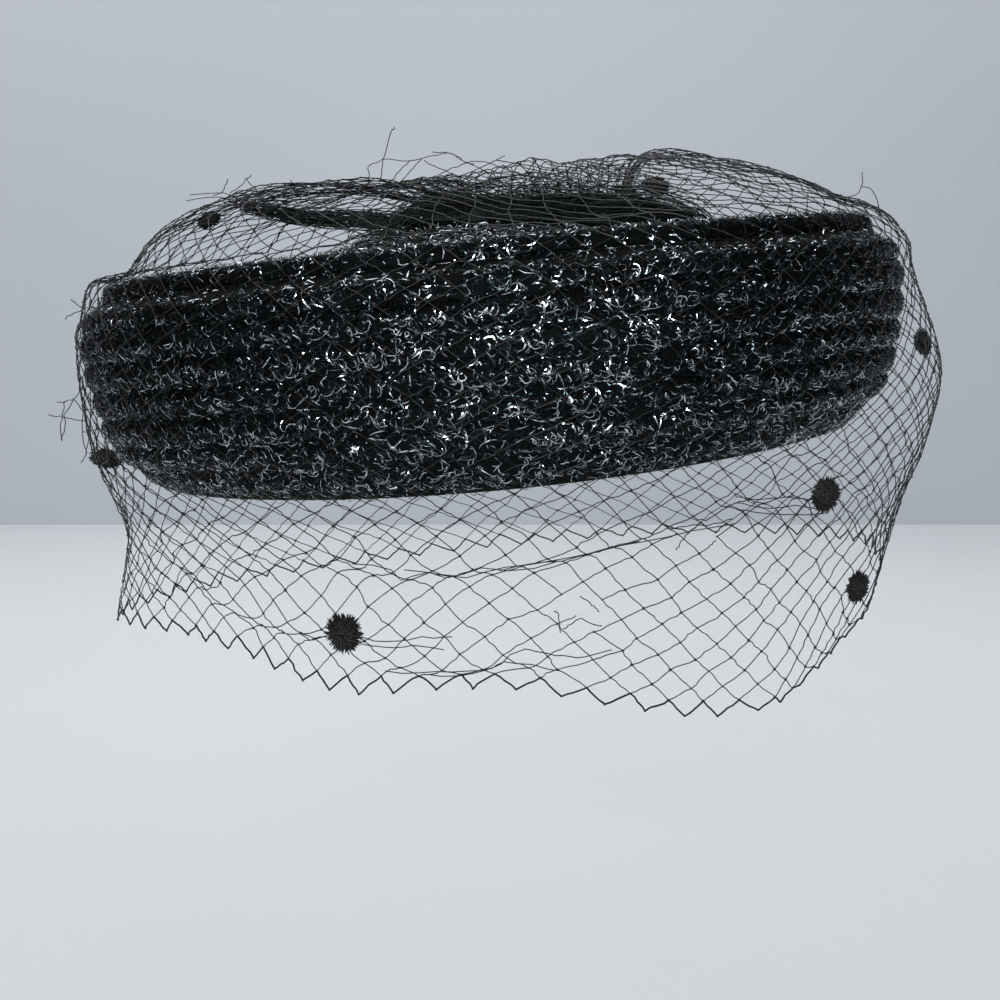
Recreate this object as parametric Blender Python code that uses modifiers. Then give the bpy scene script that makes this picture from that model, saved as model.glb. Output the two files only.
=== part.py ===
"""Pillbox hat of ribbed braid with a dotted net veil.

Metres, +Z up, the front of the hat faces -Y. The origin is the middle of the head
opening, level with the lowest points of the rim. Angles go round the hat from the
front towards +X.
"""

import math
from collections import namedtuple

import bmesh
import bpy
from mathutils import Matrix, Vector

# Crown
CROWN_RADIUS = 0.127
ROW_PITCH = 0.0088
BRAID_WALL = 0.0016
RIB_RELIEF = 0.0018
RIM_LIFT = 0.0042
CORNER_ROUND = 0.0040
CORNER_FOOT = 0.0032
FOOT_SLOPE = 0.0015
TOP_RISE = 0.0058
FLAT_ROWS = 6
# Share of the wall's height up to which the rim's lift is felt, and how fast it fades
LIFT_REACH = 0.6
LIFT_FADE = 1.5

# Raised coil in the middle of the top
COIL_RADIUS = 0.0598
COIL_HEIGHT = 0.0135

# Bunch of net on the coil
GATHER_SHIFT = 0.022
GATHER_LENGTH = 0.098
GATHER_DEPTH = 0.076
GATHER_HEIGHT = 0.0105
GATHER_COVER = 0.0004
GATHER_TILT = math.radians(5.4)
PLEATS = 8
PLEAT_DEPTH = 0.0009
# Exponent of the bunch's outline: 2 is an ellipse, and more is squarer
SQUARENESS = 2.5

# Veil
VEIL_PUFF = 0.030
VEIL_DROP = 0.070
VEIL_WALL = 0.0012
STRAND_WIDTH = 0.0034
MESHES_ROUND = 24
VEIL_CLEARANCE = 0.0026

# Dots on the veil
DOT_DIAMETER = 0.0096
DOT_THICKNESS = 0.0058
LOCK_LENGTH = 0.0015
DOT_SEAT = 0.0005
# How far a ball's flat faces lie inside it, as a share of its radius
FACE_DEPTH = 0.2

# Clearance between pieces that touch
GAP = 0.0003

# Fineness
TURN_STEPS = 36
COIL_STEPS = 26
RIB_STEPS = 3
CORNER_STEPS = 5
BED_STEPS = 12
PLEAT_STEPS = 3
GATHER_RINGS = 8
PATH_POINTS = 64
NORMAL_STEP = 0.02
MERGE_DISTANCE = 0.00001

# Crest radius of each side row, from the top row to the rim, as a share of CROWN_RADIUS
SIDE_ROWS = (0.986, 1.0, 0.993, 0.979, 0.963, 0.934, 0.868)
WALL_TOP = 0.950
WALL_RIM = 0.838
# Outer radius of the row on the top corner, as a share of CROWN_RADIUS
CORNER_ROW = 0.934

SIDE_HEIGHT = ROW_PITCH * len(SIDE_ROWS)
TOP_Z = SIDE_HEIGHT + TOP_RISE

# Rows of the raised coil: radius as a share of COIL_RADIUS, rise as a share of COIL_HEIGHT
CoilRow = namedtuple("CoilRow", "radius rise")
COIL_ROWS = (
    CoilRow(1.00, 0.02),
    CoilRow(0.93, 0.15),
    CoilRow(0.78, 0.33),
    CoilRow(0.635, 0.52),
    CoilRow(0.487, 0.80),
    CoilRow(0.34, 0.94),
    CoilRow(0.19, 0.98),
    CoilRow(0.00, 1.00),
)

# Sections of the veil, one for each direction. The four puffs are heights over the top, as
# shares of VEIL_PUFF. The next six are radii, as shares of CROWN_RADIUS, and drop is how
# far the hem hangs below the rim, as a share of VEIL_DROP.
Section = namedtuple("Section", "angle inner middle outer edge shoulder upper belly rim hang hem drop")
SECTIONS = (
    Section(0,   0.74, 0.56, 0.28, 0.11, 1.000, 1.012, 1.008, 0.935, 0.905, 0.890, 0.78),
    Section(30,  0.76, 0.62, 0.34, 0.14, 1.005, 1.015, 1.020, 0.950, 0.905, 0.875, 0.98),
    Section(60,  0.78, 0.68, 0.39, 0.17, 1.012, 1.020, 1.045, 0.980, 0.905, 0.835, 0.86),
    Section(90,  0.80, 0.68, 0.43, 0.18, 1.018, 1.026, 1.075, 1.025, 0.965, 0.900, 0.57),
    Section(120, 0.80, 0.72, 0.46, 0.21, 1.016, 1.026, 1.070, 1.040, 1.000, 0.955, 0.54),
    Section(150, 0.82, 0.76, 0.48, 0.18, 1.010, 1.020, 1.060, 1.040, 1.000, 0.970, 0.52),
    Section(180, 0.84, 0.78, 0.49, 0.14, 1.002, 1.015, 1.040, 1.020, 0.990, 0.960, 0.52),
    Section(210, 0.84, 0.78, 0.50, 0.12, 1.000, 1.012, 1.030, 1.010, 0.985, 0.970, 0.52),
    Section(240, 0.80, 0.80, 0.50, 0.09, 1.008, 1.014, 1.002, 0.975, 0.980, 0.995, 0.51),
    Section(270, 0.76, 0.82, 0.48, 0.07, 0.990, 1.008, 0.992, 0.945, 0.958, 0.985, 0.52),
    Section(300, 0.76, 0.76, 0.52, 0.08, 0.990, 1.010, 1.004, 0.925, 0.880, 0.840, 0.56),
    Section(330, 0.70, 0.64, 0.44, 0.09, 1.000, 1.012, 1.008, 0.925, 0.870, 0.845, 0.74),
)
# Radii of the puffs and of the corner, as shares of CROWN_RADIUS
RING_RADIUS = 0.24
PUFF_RADII = (0.36, 0.56, 0.78, 0.885)
CORNER_RADIUS = 0.962
# Heights of the stations on the wall, as shares of TOP_Z
SHOULDER_LEVEL = 0.87
UPPER_LEVEL = 0.72
BELLY_LEVEL = 0.28
RIM_LEVEL = -0.05
# Height of the hang station, as a share of the drop
HANG_LEVEL = 0.50
# Share of the gather's shift that the ring and the two inner puffs follow
INNER_SHIFTS = (0.70, 0.36, 0.12)

# Rows of knots of the net, as shares of the path from the gather to the hem, and the
# number of straight pieces of a strand on its way down to the next row
KnotRow = namedtuple("KnotRow", "path pieces")
KNOT_ROWS = (
    KnotRow(0.00, 1),
    KnotRow(0.17, 2),
    KnotRow(0.40, 2),
    KnotRow(0.58, 1),
    KnotRow(0.80, 1),
    KnotRow(1.00, 0),
)

# A strand that passes the top corner has a piece for each such share of the path
CORNER_PATH = 0.53
CORNER_PIECE = 0.075

# Dots: angle in degrees, share of the path from the gather to the hem, size, and how many
# degrees the net's folds lean it towards the hem
Dot = namedtuple("Dot", "angle path size lean")
DOTS = (
    Dot(250, 0.358, 0.80, 0),
    Dot(234, 0.526, 0.85, 0),
    Dot(141, 0.301, 1.00, 0),
    Dot(99, 0.665, 0.85, 0),
    Dot(262, 0.774, 1.05, 60),
    Dot(45, 0.752, 1.00, 0),
    Dot(59, 0.907, 0.95, 0),
    Dot(335, 0.922, 1.10, 0),
    Dot(122, 0.610, 1.00, 0),
    Dot(156, 0.590, 1.00, 0),
    Dot(186, 0.720, 1.00, 0),
    Dot(211, 0.585, 0.95, 0),
    Dot(236, 0.700, 1.00, 0),
)
# How much the whole path counts against a turn of one radian, when a dot picks its knot
PATH_WEIGHT = 2.0


def spline(values, place, closed=False):
    """Smooth curve through evenly spaced values, read at a place counted in values."""
    count = len(values)
    first = math.floor(place)
    if not closed:
        first = min(max(first, 0), count - 2)
    step = place - first

    def value(index):
        if closed:
            return values[index % count]
        return values[min(max(index, 0), count - 1)]

    before, start, end, after = (value(first + shift) for shift in (-1, 0, 1, 2))
    return 0.5 * (
        2 * start
        + (end - before) * step
        + (2 * before - 5 * start + 4 * end - after) * step ** 2
        + (3 * start - before - 3 * end + after) * step ** 3
    )


def between(levels, values, level):
    """Straight-line reading of values at a level, with the levels in rising order."""
    for index in range(len(levels) - 1):
        if level <= levels[index + 1]:
            share = (level - levels[index]) / (levels[index + 1] - levels[index])
            return values[index] + share * (values[index + 1] - values[index])
    return values[-1]


def rib(share):
    """Depth of the braid's surface below its crest, at a share of the row's width."""
    return RIB_RELIEF * (2 * share - 1) ** 2


def new_object(name, mesh, collection, material=None):
    piece = bpy.data.objects.new(name, mesh)
    collection.objects.link(piece)
    if material:
        mesh.materials.append(material)
    return piece


def make_material(name, colour, roughness):
    material = bpy.data.materials.new(name)
    material.use_nodes = True
    shader = material.node_tree.nodes["Principled BSDF"]
    shader.inputs["Base Color"].default_value = (*colour, 1.0)
    shader.inputs["Roughness"].default_value = roughness
    shader.inputs["Metallic"].default_value = 0.0
    return material


def smooth(mesh, angle=math.radians(35)):
    mesh.shade_smooth()
    mesh.set_sharp_from_angle(angle=angle)


def turned(name, profile, collection, material, steps=TURN_STEPS, closed=True):
    """Solid turned about Z from a profile of (radius, height) points, outer side first."""
    mesh = bpy.data.meshes.new(name)
    points = [(radius, 0.0, height) for radius, height in profile]
    edges = [(index, index + 1) for index in range(len(points) - 1)]
    if closed:
        edges.append((len(points) - 1, 0))
    mesh.from_pydata(points, edges, [])
    piece = new_object(name, mesh, collection)
    screw = piece.modifiers.new("Turn", "SCREW")
    screw.axis = "Z"
    screw.steps = steps
    screw.render_steps = steps
    screw.use_merge_vertices = True
    screw.merge_threshold = MERGE_DISTANCE
    apply_modifiers(piece)
    outward(piece.data)
    smooth(piece.data)
    if material:
        piece.data.materials.append(material)
    return piece


def apply_modifiers(piece):
    graph = bpy.context.evaluated_depsgraph_get()
    graph.update()
    mesh = bpy.data.meshes.new_from_object(piece.evaluated_get(graph))
    piece.modifiers.clear()
    old = piece.data
    piece.data = mesh
    mesh.name = piece.name
    if old.users == 0:
        bpy.data.meshes.remove(old)


def outward(mesh):
    shape = bmesh.new()
    shape.from_mesh(mesh)
    bmesh.ops.remove_doubles(shape, verts=shape.verts, dist=MERGE_DISTANCE)
    bmesh.ops.recalc_face_normals(shape, faces=shape.faces)
    shape.to_mesh(mesh)
    shape.free()


# Crown

SIDE_LEVELS = [0.0] + [(row + 0.5) * ROW_PITCH for row in range(len(SIDE_ROWS))] + [SIDE_HEIGHT]
SIDE_SHARES = [WALL_RIM] + list(reversed(SIDE_ROWS)) + [WALL_TOP]


def side_crest(level):
    """Radius of the curve that touches the crests of the side rows."""
    place = between(SIDE_LEVELS, range(len(SIDE_LEVELS)), level)
    return CROWN_RADIUS * spline(SIDE_SHARES, place)


def rim_lift(angle, level):
    """How far the rim rises at the two sides, fading out up the wall."""
    fade = max(0.0, 1.0 - level / (SIDE_HEIGHT * LIFT_REACH))
    return RIM_LIFT * math.sin(angle) ** 2 * fade ** LIFT_FADE


def make_crown_side(collection, material):
    outer = []
    for row in range(len(SIDE_ROWS)):
        for step in range(RIB_STEPS):
            share = step / RIB_STEPS
            level = SIDE_HEIGHT - (row + share) * ROW_PITCH
            outer.append((side_crest(level) - rib(share), level))
    outer.append((side_crest(0.0) - RIB_RELIEF, 0.0))
    inner = []
    for row in range(len(SIDE_ROWS) + 1):
        level = row * ROW_PITCH
        inner.append((side_crest(level) - RIB_RELIEF - BRAID_WALL, level))
    piece = turned("crown_side", outer + inner, collection, material)
    for vertex in piece.data.vertices:
        angle = math.atan2(vertex.co.x, -vertex.co.y)
        vertex.co.z += rim_lift(angle, vertex.co.z)
    return piece


def make_crown_top(collection, material):
    seat = SIDE_HEIGHT + GAP
    middle = CROWN_RADIUS * CORNER_ROW - CORNER_ROUND
    level = TOP_Z - CORNER_ROUND
    underside = TOP_Z - RIB_RELIEF - BRAID_WALL
    profile = []
    # Row on the corner, from the top of the first flat row out and down to the seat
    start = math.asin((seat - level) / CORNER_ROUND)
    for step in range(CORNER_STEPS, -1, -1):
        turn = start + (math.pi / 2 - start) * step / CORNER_STEPS
        profile.append((middle + CORNER_ROUND * math.cos(turn), level + CORNER_ROUND * math.sin(turn)))
    wall_inside = side_crest(SIDE_HEIGHT) - RIB_RELIEF - BRAID_WALL
    profile.append((wall_inside - CORNER_FOOT, seat))
    profile.append((wall_inside - CORNER_FOOT - FOOT_SLOPE, underside))
    profile.append((COIL_RADIUS, underside))
    # Flat rows, from the coil outwards
    outermost = middle - CORNER_ROUND
    pitch = (outermost - COIL_RADIUS) / FLAT_ROWS
    for row in range(FLAT_ROWS):
        for step in range(RIB_STEPS):
            share = step / RIB_STEPS
            profile.append((COIL_RADIUS + (row + share) * pitch, TOP_Z - rib(share)))
    # The corner row's own rib, from the last crease to half way up to its crest
    for share in (0.0, 0.25):
        profile.append((outermost + 2 * CORNER_ROUND * share, TOP_Z - rib(share)))
    return turned("crown_top", profile, collection, material)


def coil_crest(radius):
    """Height of the curve that touches the crests of the coil's rows."""
    shares = [row.radius for row in reversed(COIL_ROWS)]
    rises = [row.rise for row in reversed(COIL_ROWS)]
    place = between(shares, range(len(shares)), min(radius / COIL_RADIUS, 1.0))
    return TOP_Z + COIL_HEIGHT * spline(rises, place)


def make_top_coil(collection, material):
    rows = len(COIL_ROWS) - 1
    edge = COIL_RADIUS - GAP
    profile = []
    for row in range(rows):
        for step in range(RIB_STEPS):
            share = step / RIB_STEPS
            radius = edge * (row + share) / rows
            profile.append((radius, coil_crest(radius) - rib(share)))
    profile.append((edge, TOP_Z - RIB_RELIEF))
    for row in range(rows, -1, -1):
        radius = edge * row / rows
        profile.append((radius, coil_crest(radius) - RIB_RELIEF - BRAID_WALL))
    return turned("top_coil", profile, collection, material, COIL_STEPS, closed=False)


# Bunch of net

def gather_top(x, y):
    """Height of the bunch's upper surface over a place inside its outline."""
    along = (x - GATHER_SHIFT) / (GATHER_LENGTH / 2)
    across = y / (GATHER_DEPTH / 2)
    left = max(0.0, 1.0 - abs(along) ** SQUARENESS - abs(across) ** SQUARENESS)
    return gather_middle(x) + GATHER_HEIGHT * left ** (1 / SQUARENESS)


def gather_middle(x):
    """Height of the bunch's middle, low enough for its top to just cover the coil."""
    crest = TOP_Z + COIL_HEIGHT + GATHER_COVER
    return crest - GATHER_HEIGHT - (x - GATHER_SHIFT) * math.tan(GATHER_TILT)


def make_veil_gather(collection, cutters, material):
    shape = bmesh.new()
    points_round = PLEAT_STEPS * PLEATS
    bmesh.ops.create_uvsphere(shape, u_segments=points_round, v_segments=GATHER_RINGS, radius=1.0)
    for vertex in shape.verts:
        direction = vertex.co.normalized()
        size = sum(abs(part) ** SQUARENESS for part in direction) ** (1 / SQUARENESS)
        along, across, up = direction / size
        x = GATHER_SHIFT + along * GATHER_LENGTH / 2
        y = across * GATHER_DEPTH / 2
        reach = min(1.0, math.hypot(along, across))
        fold = PLEAT_DEPTH * math.cos(PLEATS * math.atan2(across, along)) * reach
        vertex.co = (x, y, gather_middle(x) + up * GATHER_HEIGHT + (fold - PLEAT_DEPTH) * reach)
    mesh = bpy.data.meshes.new("veil_gather")
    shape.to_mesh(mesh)
    shape.free()
    piece = new_object("veil_gather", mesh, collection, material)
    # The bunch rests on the coil and on the flat rows round it
    reach = GATHER_SHIFT + GATHER_LENGTH
    floor = TOP_Z - GATHER_LENGTH / 2
    bed = []
    for step in range(BED_STEPS + 1):
        radius = COIL_RADIUS * step / BED_STEPS
        bed.append((radius, coil_crest(radius) + GAP))
    bed += [(reach, TOP_Z + GAP), (reach, floor), (0.0, floor)]
    cutter = turned("gather_bed", bed, cutters, None, closed=False)
    cutter.hide_render = True
    cutter.display_type = "WIRE"
    cut = piece.modifiers.new("Bed", "BOOLEAN")
    cut.operation = "DIFFERENCE"
    cut.object = cutter
    apply_modifiers(piece)
    smooth(piece.data)
    return piece


# Veil

def section_value(name, angle):
    """One column of the sections table, read smoothly at an angle in radians."""
    column = [getattr(section, name) for section in SECTIONS]
    return spline(column, math.degrees(angle) / 360 * len(SECTIONS), closed=True)


def veil_stations(angle):
    """Points of the veil's path from the gather to the hem, at an angle in radians."""
    outward_x = math.sin(angle)
    outward_y = -math.cos(angle)
    stations = []

    def add(radius, height, shift=0.0):
        stations.append(Vector((radius * outward_x + shift, radius * outward_y, height)))

    ring_shift = GATHER_SHIFT * INNER_SHIFTS[0]
    ring_x = RING_RADIUS * CROWN_RADIUS * outward_x + ring_shift
    ring_y = RING_RADIUS * CROWN_RADIUS * outward_y
    lift = GAP + VEIL_WALL / 2
    add(RING_RADIUS * CROWN_RADIUS, gather_top(ring_x, ring_y) + lift, ring_shift)
    puffs = ("inner", "middle", "outer", "edge")
    shifts = (INNER_SHIFTS[1], INNER_SHIFTS[2], 0.0, 0.0)
    for name, radius, shift in zip(puffs, PUFF_RADII, shifts):
        height = TOP_Z + VEIL_PUFF * section_value(name, angle)
        add(radius * CROWN_RADIUS, height, shift * GATHER_SHIFT)
    add(CORNER_RADIUS * CROWN_RADIUS, TOP_Z + VEIL_CLEARANCE)
    levels = (SHOULDER_LEVEL, UPPER_LEVEL, BELLY_LEVEL, RIM_LEVEL)
    for name, level in zip(("shoulder", "upper", "belly", "rim"), levels):
        add(CROWN_RADIUS * section_value(name, angle) + VEIL_CLEARANCE, TOP_Z * level)
    drop = VEIL_DROP * section_value("drop", angle)
    add(CROWN_RADIUS * section_value("hang", angle), -drop * HANG_LEVEL)
    add(CROWN_RADIUS * section_value("hem", angle), -drop)
    return stations


def veil_path(angle):
    """Closely spaced points of the smooth path through the stations."""
    stations = veil_stations(angle)
    columns = [[station[axis] for station in stations] for axis in range(3)]
    places = [(len(stations) - 1) * step / PATH_POINTS for step in range(PATH_POINTS + 1)]
    return [Vector([spline(column, place) for column in columns]) for place in places]


def veil_point(angle, share):
    """Point of the veil at an angle and at a share of the path's length."""
    path = veil_path(angle)
    lengths = [0.0]
    for start, end in zip(path, path[1:]):
        lengths.append(lengths[-1] + (end - start).length)
    place = between(lengths, range(len(lengths)), share * lengths[-1])
    index = min(int(place), len(path) - 2)
    return path[index].lerp(path[index + 1], place - index)


def veil_normal(angle, share):
    """Direction that points out of the veil."""
    above = max(share - NORMAL_STEP, 0.0)
    below = min(share + NORMAL_STEP, 1.0)
    around = veil_point(angle + NORMAL_STEP, share) - veil_point(angle - NORMAL_STEP, share)
    down = veil_point(angle, below) - veil_point(angle, above)
    return down.cross(around).normalized()


def turn_between(start, end):
    """Shorter turn from one angle to another, in radians."""
    return (end - start + math.pi) % (2 * math.pi) - math.pi


def knot_places():
    """Angle and path share of every knot, by row, with some moved to carry the dots."""
    rows = []
    for number, row in enumerate(KNOT_ROWS):
        half = 0.5 * (number % 2)
        angles = [(knot + half) * 2 * math.pi / MESHES_ROUND for knot in range(MESHES_ROUND)]
        rows.append([(angle, row.path) for angle in angles])
    for dot in DOTS:
        target = (math.radians(dot.angle), dot.path)

        def distance(place):
            angle, path = rows[place[0]][place[1]]
            return math.hypot(turn_between(target[0], angle), (path - target[1]) * PATH_WEIGHT)

        choices = [(row, knot) for row in range(1, len(rows) - 1) for knot in range(MESHES_ROUND)]
        row, knot = min(choices, key=distance)
        old = rows[row][knot][0]
        rows[row][knot] = (old + turn_between(old, target[0]), target[1])
    return rows


def make_veil(collection, material):
    """Net of diamond meshes: a lofted sheet whose meshes are inset, opened and thickened."""
    shape = bmesh.new()
    places = knot_places()
    knots = [[shape.verts.new(veil_point(*place)) for place in row] for row in places]

    def strand(row, upper, lower):
        """Points between a knot and one of the two knots below it."""
        start = places[row][upper]
        end = places[row + 1][lower]
        turn = turn_between(start[0], end[0])
        pieces = KNOT_ROWS[row].pieces
        if start[1] < CORNER_PATH < end[1]:
            pieces = math.ceil((end[1] - start[1]) / CORNER_PIECE)
        points = []
        for step in range(1, pieces):
            share = step / pieces
            place = (start[0] + turn * share, start[1] + (end[1] - start[1]) * share)
            points.append(shape.verts.new(veil_point(*place)))
        return points

    # Each knot has a strand to its lower left and one to its lower right
    strands = []
    for row in range(len(KNOT_ROWS) - 1):
        offset = row % 2
        strands.append([
            (
                strand(row, knot, (knot - 1 + offset) % MESHES_ROUND),
                strand(row, knot, (knot + offset) % MESHES_ROUND),
            )
            for knot in range(MESHES_ROUND)
        ])
    last = len(KNOT_ROWS) - 1
    for row in range(last):
        offset = row % 2
        for knot in range(MESHES_ROUND):
            left = (knot - 1 + offset) % MESHES_ROUND
            right = (knot + offset) % MESHES_ROUND
            down_left, down_right = strands[row][knot]
            loop = [knots[row][knot]] + down_left + [knots[row + 1][left]]
            back = [knots[row + 1][right]] + down_right[::-1]
            if row + 2 <= last:
                # The knot two rows down closes the mesh
                loop += strands[row + 1][left][1] + [knots[row + 2][knot]]
                loop += strands[row + 1][right][0][::-1]
            shape.faces.new(loop + back)
    bmesh.ops.recalc_face_normals(shape, faces=shape.faces)
    meshes = list(shape.faces)
    bmesh.ops.inset_individual(shape, faces=meshes, thickness=STRAND_WIDTH / 2, use_even_offset=True)
    bmesh.ops.delete(shape, geom=meshes, context="FACES_ONLY")
    mesh = bpy.data.meshes.new("veil")
    shape.to_mesh(mesh)
    shape.free()
    piece = new_object("veil", mesh, collection, material)
    thicken = piece.modifiers.new("Thicken", "SOLIDIFY")
    thicken.thickness = VEIL_WALL
    thicken.offset = 0.0
    apply_modifiers(piece)
    outward(piece.data)
    return piece


# Dots

def make_dot(number, dot, collection, material):
    """Flat tuft of short locks, seated on the outside of the net."""
    shape = bmesh.new()
    radius = DOT_DIAMETER / 2
    bmesh.ops.create_icosphere(shape, subdivisions=1, radius=radius - LOCK_LENGTH)
    bmesh.ops.poke(shape, faces=shape.faces, offset=LOCK_LENGTH + FACE_DEPTH * radius)
    flatten = DOT_THICKNESS / DOT_DIAMETER
    for vertex in shape.verts:
        vertex.co *= dot.size
        vertex.co.z *= flatten
    angle = math.radians(dot.angle)
    normal = veil_normal(angle, dot.path)
    around = Vector((math.cos(angle), math.sin(angle), 0.0))
    turn = Matrix.Rotation(math.radians(dot.lean), 3, around) @ normal.to_track_quat("Z", "Y").to_matrix()
    lowest = -min((turn @ vertex.co).dot(normal) for vertex in shape.verts)
    mesh = bpy.data.meshes.new(f"veil_dot_{number:02d}")
    shape.to_mesh(mesh)
    shape.free()
    piece = new_object(mesh.name, mesh, collection, material)
    piece.rotation_euler = turn.to_euler()
    piece.location = veil_point(angle, dot.path) + normal * (VEIL_WALL / 2 + DOT_SEAT + lowest)
    return piece


def main():
    for leftover in list(bpy.data.objects):
        bpy.data.objects.remove(leftover, do_unlink=True)
    collection = bpy.data.collections.new("pillbox_hat")
    cutters = bpy.data.collections.new("cutters")
    for group in (collection, cutters):
        bpy.context.scene.collection.children.link(group)

    braid = make_material("black_braid", (0.012, 0.015, 0.018), 0.30)
    top_braid = make_material("black_top_braid", (0.012, 0.015, 0.018), 0.34)
    coil_braid = make_material("black_coil_braid", (0.010, 0.014, 0.016), 0.36)
    bunched = make_material("black_bunched_net", (0.008, 0.012, 0.012), 0.60)
    net = make_material("black_net", (0.010, 0.012, 0.014), 0.55)
    chenille = make_material("black_chenille", (0.006, 0.006, 0.007), 0.90)

    make_crown_side(collection, braid)
    make_crown_top(collection, top_braid)
    make_top_coil(collection, coil_braid)
    make_veil_gather(collection, cutters, bunched)
    make_veil(collection, net)
    for number, dot in enumerate(DOTS, start=1):
        make_dot(number, dot, collection, chenille)


main()
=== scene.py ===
"""Looks of the pillbox hat: shiny ribbed braid under a fine dotted net.

Metres, +Z up, the front of the hat faces -Y, and the origin is the middle of the head
opening. Angles go round the hat from the front towards +X. The sizes of the braid and of
the veil's sheet are the ones that the solids were made from.
"""

import math
from collections import namedtuple

import bpy
import numpy as np
from mathutils import Matrix, Vector


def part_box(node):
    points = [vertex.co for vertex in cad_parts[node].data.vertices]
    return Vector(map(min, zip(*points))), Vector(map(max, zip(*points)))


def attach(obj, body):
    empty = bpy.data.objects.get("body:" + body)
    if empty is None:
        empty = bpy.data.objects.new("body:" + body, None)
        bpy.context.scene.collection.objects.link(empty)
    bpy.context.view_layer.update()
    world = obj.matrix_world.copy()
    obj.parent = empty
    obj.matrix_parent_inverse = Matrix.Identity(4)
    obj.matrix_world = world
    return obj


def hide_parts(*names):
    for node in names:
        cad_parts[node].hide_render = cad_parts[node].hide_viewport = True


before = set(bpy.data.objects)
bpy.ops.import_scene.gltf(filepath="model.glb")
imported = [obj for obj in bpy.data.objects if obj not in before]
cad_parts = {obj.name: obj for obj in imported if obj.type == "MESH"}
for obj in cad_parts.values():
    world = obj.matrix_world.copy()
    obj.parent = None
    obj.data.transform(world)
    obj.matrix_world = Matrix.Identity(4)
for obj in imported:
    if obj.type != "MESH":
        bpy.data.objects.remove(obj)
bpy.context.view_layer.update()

# Camera: the focal length in pixels of the 1000-pixel picture, and where the level line
# that runs straight ahead from the front of the hat to its back meets the picture
IMAGE_SIZE = 1000
FOCAL_PIXELS = 2343.0
SENSOR_WIDTH = 36.0
CAMERA_PLACE = (0.0, -0.735, 0.0445)
CAMERA_ROLL = math.radians(5.4)
AHEAD_PIXEL = (492.6, 325.0)

# Room
FLOOR_DEPTH = 0.27
WALL_DISTANCE = 2.95
ROOM_WIDTH = 9.0
ROOM_HEIGHT = 5.0

# Crown
CROWN_RADIUS = 0.127
ROW_PITCH = 0.0088
BRAID_WALL = 0.0016
RIB_RELIEF = 0.0018
RIM_LIFT = 0.0042
LIFT_REACH = 0.6
LIFT_FADE = 1.5
CORNER_ROUND = 0.0040
CORNER_FOOT = 0.0032
TOP_RISE = 0.0058
FLAT_ROWS = 6
SIDE_ROWS = (0.986, 1.0, 0.993, 0.979, 0.963, 0.934, 0.868)
WALL_TOP = 0.950
WALL_RIM = 0.838
CORNER_ROW = 0.934
SIDE_HEIGHT = ROW_PITCH * len(SIDE_ROWS)
TOP_Z = SIDE_HEIGHT + TOP_RISE
GAP = 0.0003
BUMP_WAVES = (90, 131, 171, 233)
BUMP_DEPTH = 0.0001

# Raised coil: radius as a share of COIL_RADIUS, rise as a share of COIL_HEIGHT
COIL_RADIUS = 0.0598
COIL_HEIGHT = 0.0135
COIL_OVERLAP = 0.0006
CoilRow = namedtuple("CoilRow", "radius rise")
COIL_ROWS = (
    CoilRow(1.00, 0.02),
    CoilRow(0.93, 0.15),
    CoilRow(0.78, 0.33),
    CoilRow(0.635, 0.52),
    CoilRow(0.487, 0.80),
    CoilRow(0.34, 0.94),
    CoilRow(0.19, 0.98),
    CoilRow(0.00, 1.00),
)

# Bunch of net on the coil
GATHER_SHIFT = 0.022
GATHER_LENGTH = 0.098
GATHER_DEPTH = 0.076
GATHER_HEIGHT = 0.0105
GATHER_COVER = 0.0004
GATHER_TILT = math.radians(5.4)
PLEATS = 8
PLEAT_DEPTH = 0.0009
SQUARENESS = 2.5
HEART_SWELL = 0.80
BUNCH_THREADS = 1500
BUNCH_POINTS = 8
FRINGE_THREADS = 300
FRINGE_POINTS = 9

# Veil's sheet
VEIL_PUFF = 0.030
VEIL_DROP = 0.070
VEIL_WALL = 0.0012
Section = namedtuple("Section", "angle inner middle outer edge shoulder upper belly rim hang hem drop")
SECTIONS = (
    Section(0,   0.74, 0.56, 0.28, 0.11, 1.000, 1.012, 1.008, 0.935, 0.905, 0.890, 0.78),
    Section(30,  0.76, 0.62, 0.34, 0.14, 1.005, 1.015, 1.020, 0.950, 0.905, 0.875, 0.98),
    Section(60,  0.78, 0.68, 0.39, 0.17, 1.012, 1.020, 1.045, 0.980, 0.905, 0.835, 0.86),
    Section(90,  0.80, 0.68, 0.43, 0.18, 1.018, 1.026, 1.075, 1.025, 0.965, 0.900, 0.57),
    Section(120, 0.80, 0.72, 0.46, 0.21, 1.016, 1.026, 1.070, 1.040, 1.000, 0.955, 0.54),
    Section(150, 0.82, 0.76, 0.48, 0.18, 1.010, 1.020, 1.060, 1.040, 1.000, 0.970, 0.52),
    Section(180, 0.84, 0.78, 0.49, 0.14, 1.002, 1.015, 1.040, 1.020, 0.990, 0.960, 0.52),
    Section(210, 0.84, 0.78, 0.50, 0.12, 1.000, 1.012, 1.030, 1.010, 0.985, 0.970, 0.52),
    Section(240, 0.80, 0.80, 0.50, 0.09, 1.008, 1.014, 1.002, 0.975, 0.980, 0.995, 0.51),
    Section(270, 0.76, 0.82, 0.48, 0.07, 0.990, 1.008, 0.992, 0.945, 0.958, 0.985, 0.52),
    Section(300, 0.76, 0.76, 0.52, 0.08, 0.990, 1.010, 1.004, 0.925, 0.880, 0.840, 0.56),
    Section(330, 0.70, 0.64, 0.44, 0.09, 1.000, 1.012, 1.008, 0.925, 0.870, 0.845, 0.74),
)
RING_RADIUS = 0.24
PUFF_RADII = (0.36, 0.56, 0.78, 0.885)
CORNER_RADIUS = 0.962
SHOULDER_LEVEL = 0.87
UPPER_LEVEL = 0.72
BELLY_LEVEL = 0.28
RIM_LEVEL = -0.05
HANG_LEVEL = 0.50
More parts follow.
